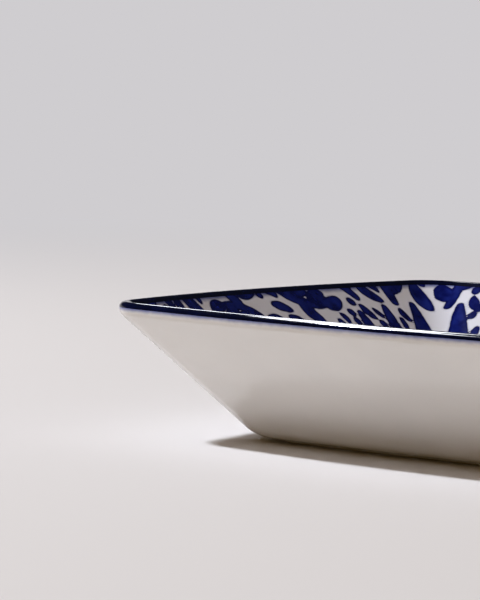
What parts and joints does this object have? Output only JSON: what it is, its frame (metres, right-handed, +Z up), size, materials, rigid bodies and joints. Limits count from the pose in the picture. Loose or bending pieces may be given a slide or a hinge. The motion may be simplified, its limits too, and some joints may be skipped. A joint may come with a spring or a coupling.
{
  "type": "square serving dish",
  "caption": "Deep square porcelain dish with flared, outward-bowed walls, a rounded cobalt-banded lip, glaze coats inside and out and a low unglazed foot ring.",
  "frame": {"origin": "middle of the plane that the foot ring stands on", "axes": "+Z up out of the dish, the straight sides run along X and Y"},
  "size_m": [0.158, 0.158, 0.0344],
  "materials": {
    "biscuit": "unglazed fired porcelain, matte and slightly gritty",
    "outside_glaze": "clear glossy glaze over white porcelain",
    "inside_glaze": "clear glossy glaze over white porcelain with a cobalt blue leaf print",
    "cobalt_band": "dark cobalt blue under glossy glaze"
  },
  "bodies": {
    "root": {"porcelain_body": "biscuit", "outside_glaze": "outside_glaze", "rim_band": "cobalt_band", "inside_glaze": "inside_glaze", "recess_glaze": "outside_glaze"}
  },
  "joints": []
}
